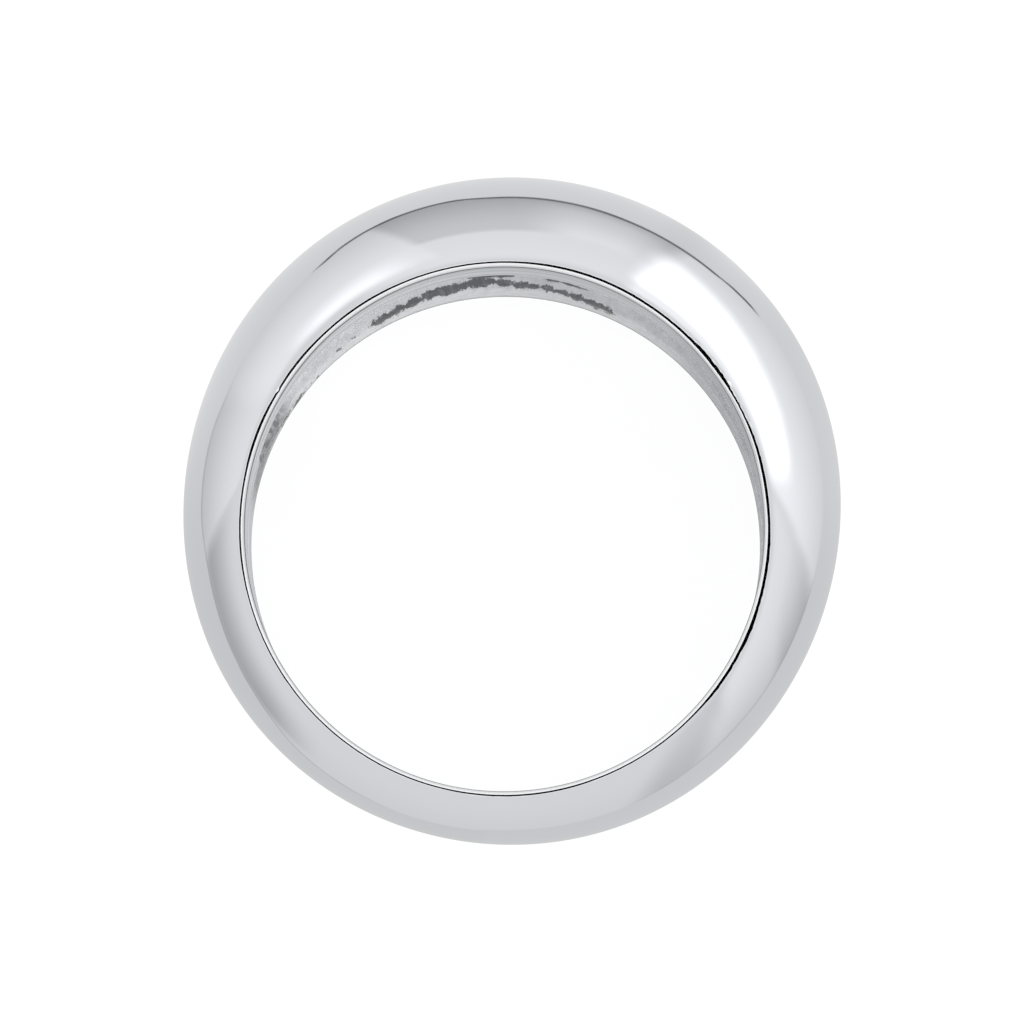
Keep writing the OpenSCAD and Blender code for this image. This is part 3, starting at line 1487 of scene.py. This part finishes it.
@dataclass(frozen=True)
class StudioSurround:
    """A white light tent with soft panels, gaps between them and a seam where it meets the floor.

    Angles round the view run from half a turn below cut to half a turn above it. Levels are the
    greys that the polished metal shows, from 0 to 1.
    """

    facing: Vector
    right: Vector
    up: Vector
    metal: float = 0.9
    roof_level: float = 0.825
    wall_level: float = 0.80
    floor_level: float = 0.80
    overhead_level: float = 0.95
    seam_level: float = 0.37
    seam_width: float = 1.7
    seam_heart: float = 0.6
    wall_range: tuple[float, float] = (60.0, 130.0)
    overhead_range: tuple[float, float] = (38.0, 44.0)
    floor_edge: tuple[float, float] = (-1.0, 1.5)
    lens_level: float = 0.03
    lens_radius: float = 6.5
    lens_soft: float = 2.0
    lens_fall: float = 9.8
    lens_turn: float = -103.0
    backdrop: float = 1.0
    cut: float = 85.0
    seam_curve: tuple[tuple[float, float], ...] = (
        (-95.0, 118.0),
        (-63.0, 115.0),
        (-35.0, 119.0),
        (-14.0, 122.0),
        (20.0, 126.0),
        (39.5, 126.0),
        (54.0, 121.8),
        (82.0, 123.8),
        (94.0, 124.2),
        (105.0, 126.9),
        (115.0, 126.7),
        (129.5, 121.2),
        (158.0, 118.0),
        (167.0, 121.5),
        (186.0, 115.0),
        (200.0, 112.0),
        (218.0, 115.0),
        (240.0, 122.0),
        (265.0, 118.0),
    )
    seam_stretches: tuple[SeamStretch, ...] = (
        SeamStretch(39.5, 129.5, 2.5, 0.9),
        SeamStretch(158.0, 243.0, 8.0, 0.2),
        SeamStretch(-66.0, -14.0, 4.0, 0.15),
    )
    panels: tuple[SoftPanel, ...] = (
        SoftPanel(48, 128, 58, 89, 0.88, 0.86, 6, 4, 3),
        SoftPanel(48, 125, 85.5, 150, 0.77, 0.57, 5, 2.5, 4),
        SoftPanel(61, 84, 84, 118, 0.88, 0.77, 8, 3, 8),
        SoftPanel(-7, 59.5, 55, 170, 0.955, 0.74, 2.5, 4, 8, start_lean=-0.25, end_lean=-0.09),
        SoftPanel(
            6, 59.5, 62, 92, 1.25, 1.12, 5, 4, 10, end_lean=-0.05, top_lean=0.12, bottom_lean=0.4
        ),
        SoftPanel(
            112, 182.1, 64, 150, 0.905, 0.74, 1.5, 4, 8, start_lean=0.14, end_lean=0.143, top_lean=-0.08
        ),
        SoftPanel(158, 182.1, 62, 150, 0.868, 0.69, 4, 4, 8, end_lean=0.143, end_soft=1.5),
        SoftPanel(118, 143, 66, 79, 1.03, 0.97, 7, 5, 7, bottom_lean=-0.15),
        SoftPanel(
            183.6, 224, 58, 114, 0.83, 0.635, 3, 6, 8, start_lean=0.143, end_lean=0.02, end_soft=9
        ),
        SoftPanel(-63, -49, 52, 118, 0.785, 0.72, 5, 5, 8, start_lean=-0.1, end_lean=-0.1),
        SoftPanel(-47, -8, 56, 150, 0.88, 0.73, 5, 4, 8, start_lean=-0.08, end_lean=-0.25),
        SoftPanel(-24, -8, 90, 130, 0.79, 0.66, 4, 14, 8, start_lean=-0.25, end_lean=-0.25),
    )
    floor_pools: tuple[SoftPanel, ...] = (
        SoftPanel(40, 172, 110, 210, 0.80, 0.86, 10, 8),
        SoftPanel(176, 400, 60, 220, 0.768, 0.768, 22),
        SoftPanel(-130, -4, 60, 220, 0.775, 0.775, 12),
        SoftPanel(54, 61, 60, 170, 0.745, 0.80, 5, 4, 8),
    )

    def make(self) -> None:
        """Builds the world's shader."""
        world = bpy.data.worlds.new("studio_surround")
        bpy.context.scene.world = world
        world.use_nodes = True
        world.node_tree.nodes.clear()
        graph = Graph(world.node_tree)

        looking = graph.node("ShaderNodeTexCoord", output="Generated")
        towards = graph.maths("ARCCOSINE", graph.dot(looking, self.facing))
        away = towards * (180 / math.pi)
        cut = math.radians(self.cut)
        first = self.right * math.cos(cut) + self.up * math.sin(cut)
        second = self.up * math.cos(cut) - self.right * math.sin(cut)
        turned = graph.maths("ARCTAN2", graph.dot(looking, second), graph.dot(looking, first))
        around = turned * (180 / math.pi) + self.cut

        level = graph.ramp(away, *self.wall_range, self.roof_level, self.wall_level)
        for panel in self.panels:
            level = panel.over(graph, level, around, away)
        level = self._floor_and_seam(graph, level, around, away)
        overhead = graph.ramp(away, *self.overhead_range, 1.0, 0.0)
        level = graph.blend(overhead, level, self.overhead_level)
        level = self._dark_lens(graph, level, looking)
        light = graph.most(level, 0.0) ** DISPLAY_GAMMA / self.metal

        white = (1.0, 1.0, 1.0, 1.0)
        tent = graph.node("ShaderNodeBackground", values={"Color": white, "Strength": light})
        plain = graph.node(
            "ShaderNodeBackground", values={"Color": white, "Strength": self.backdrop}
        )
        mirrored = graph.node("ShaderNodeLightPath", output="Is Glossy Ray")
        seen = graph.node("ShaderNodeMixShader", values={0: mirrored, 1: plain, 2: tent})
        graph.node("ShaderNodeOutputWorld", values={"Surface": seen})
        world.cycles.sampling_method = "NONE"

    def _floor_and_seam(self, graph: Graph, level: Signal, around: Signal, away: Signal) -> Signal:
        """Puts the pale floor under the panels, and the thin dark seam between them.

        Args:
            graph: The world's tree.
            level: The level of the panels.
            around: Angle round the view.
            away: Angle away from the camera.

        Returns:
            The level with the floor and its seam.
        """
        first, last = self.seam_curve[0][0], self.seam_curve[-1][0]
        seam = graph.curve(
            (around - first) / (last - first),
            [(turn - first) / (last - first) for turn, _ in self.seam_curve],
            [fall for _, fall in self.seam_curve],
        )
        past = away - seam
        floor: Operand = self.floor_level
        for pool in self.floor_pools:
            floor = pool.over(graph, floor, around, away)
        level = graph.blend(graph.ramp(past, *self.floor_edge), level, floor)
        strong: Operand = 0.0
        for run in self.seam_stretches:
            strong = strong + graph.window(around, run.start, run.end, run.soft) * run.strength
        line = graph.ramp(abs(past), self.seam_heart, self.seam_width, 1.0, 0.0)
        return graph.blend(line * strong, level, self.seam_level)

    def _dark_lens(self, graph: Graph, level: Signal, looking: Signal) -> Signal:
        """Puts the dark camera where the flat lands on the ring's sides reflect it.

        Args:
            graph: The world's tree.
            level: The level without it.
            looking: The direction looked in.

        Returns:
            The level with it.
        """
        fall = math.radians(self.lens_fall)
        turn = math.radians(self.lens_turn)
        lens = self.facing * math.cos(fall) + (
            self.right * math.cos(turn) + self.up * math.sin(turn)
        ) * math.sin(fall)
        near = graph.dot(looking, lens)
        rim = math.cos(math.radians(self.lens_radius))
        heart = math.cos(math.radians(self.lens_radius - self.lens_soft))
        return graph.blend(graph.ramp(near, rim, heart), level, self.lens_level)


@dataclass(frozen=True)
class PaleFloor:
    """A plain white floor that glows, so that shadows hardly show on it."""

    half_size: float = 3.0
    glow: float = 0.9
    white: float = 0.16

    def build(self) -> bpy.types.Object:
        """Makes the floor.

        Returns:
            The floor.
        """
        half = self.half_size
        corners = [(-half, -half, 0), (half, -half, 0), (half, half, 0), (-half, half, 0)]
        shape = bpy.data.meshes.new("floor")
        shape.from_pydata(corners, [], [(0, 1, 2, 3)])
        floor = bpy.data.objects.new("floor", shape)
        bpy.context.scene.collection.objects.link(floor)
        shape.materials.append(self._paint())
        return floor

    def _paint(self) -> bpy.types.Material:
        """Makes the floor's material, which mirrors see through to the surround's own floor.

        Returns:
            The material.
        """
        made = bpy.data.materials.new("white_floor")
        made.use_nodes = True
        made.node_tree.nodes.clear()
        graph = Graph(made.node_tree)
        matt = graph.node(
            "ShaderNodeBsdfDiffuse", values={"Color": (self.white, self.white, self.white, 1.0)}
        )
        shine = graph.node(
            "ShaderNodeEmission", values={"Color": (1.0, 1.0, 1.0, 1.0), "Strength": self.glow}
        )
        paint = graph.node("ShaderNodeAddShader", values={0: matt, 1: shine})
        clear = graph.node("ShaderNodeBsdfTransparent")
        glossy = graph.node("ShaderNodeLightPath", output="Is Glossy Ray")
        surface = graph.node("ShaderNodeMixShader", values={0: glossy, 1: paint, 2: clear})
        graph.node("ShaderNodeOutputMaterial", values={"Surface": surface})
        return made


@dataclass(frozen=True)
class StudioCamera:
    """The camera, nearly over the finger hole and a little towards the back of the ring."""

    facing: Vector
    right: Vector
    up: Vector
    distance: float = 0.358
    pixels_per_mm: float = 29.7
    aim_right: float = 0.000236
    aim_up: float = 0.000882
    sensor: float = 36.0
    nearest: float = 0.01
    farthest: float = 10.0

    def build(self, place: RingPlace) -> bpy.types.Object:
        """Makes the camera and makes it the scene's own.

        Args:
            place: Where the ring lies.

        Returns:
            The camera.
        """
        data = bpy.data.cameras.new("studio_camera")
        frame_width = PICTURE_PIXELS / self.pixels_per_mm * MM
        data.sensor_width = self.sensor
        data.lens = self.sensor * self.distance / frame_width
        data.clip_start, data.clip_end = self.nearest, self.farthest
        camera = bpy.data.objects.new("studio_camera", data)
        bpy.context.scene.collection.objects.link(camera)
        camera.location = place.centre + self.facing * self.distance
        target = place.centre + self.right * self.aim_right + self.up * self.aim_up
        back = (camera.location - target).normalized()
        side = self.up.cross(back).normalized()
        top = back.cross(side)
        camera.rotation_mode = "QUATERNION"
        camera.rotation_quaternion = Matrix((side, top, back)).transposed().to_quaternion()
        bpy.context.scene.camera = camera
        return camera


def main() -> None:
    """Builds the ring, its floor, light and camera."""
    logging.basicConfig(level=logging.INFO, format="%(name)s: %(message)s")
    bpy.context.scene.view_settings.view_transform = "Standard"
    facing = Vector(TO_CAMERA).normalized()
    right = Vector(PICTURE_RIGHT).normalized()
    up = facing.cross(right)

    band = RingBand()
    piece = band.build()
    log.info("%s: %d vertices", piece.name, len(piece.data.vertices))
    floor = PaleFloor().build()
    log.info("%s: %.1f m across", floor.name, floor.dimensions.x)
    StudioSurround(facing, right, up).make()
    log.info("studio surround: lit")
    camera = StudioCamera(facing, right, up).build(band.place())
    log.info("%s: %.0f mm lens", camera.name, camera.data.lens)


if __name__ == "__main__":
    main()
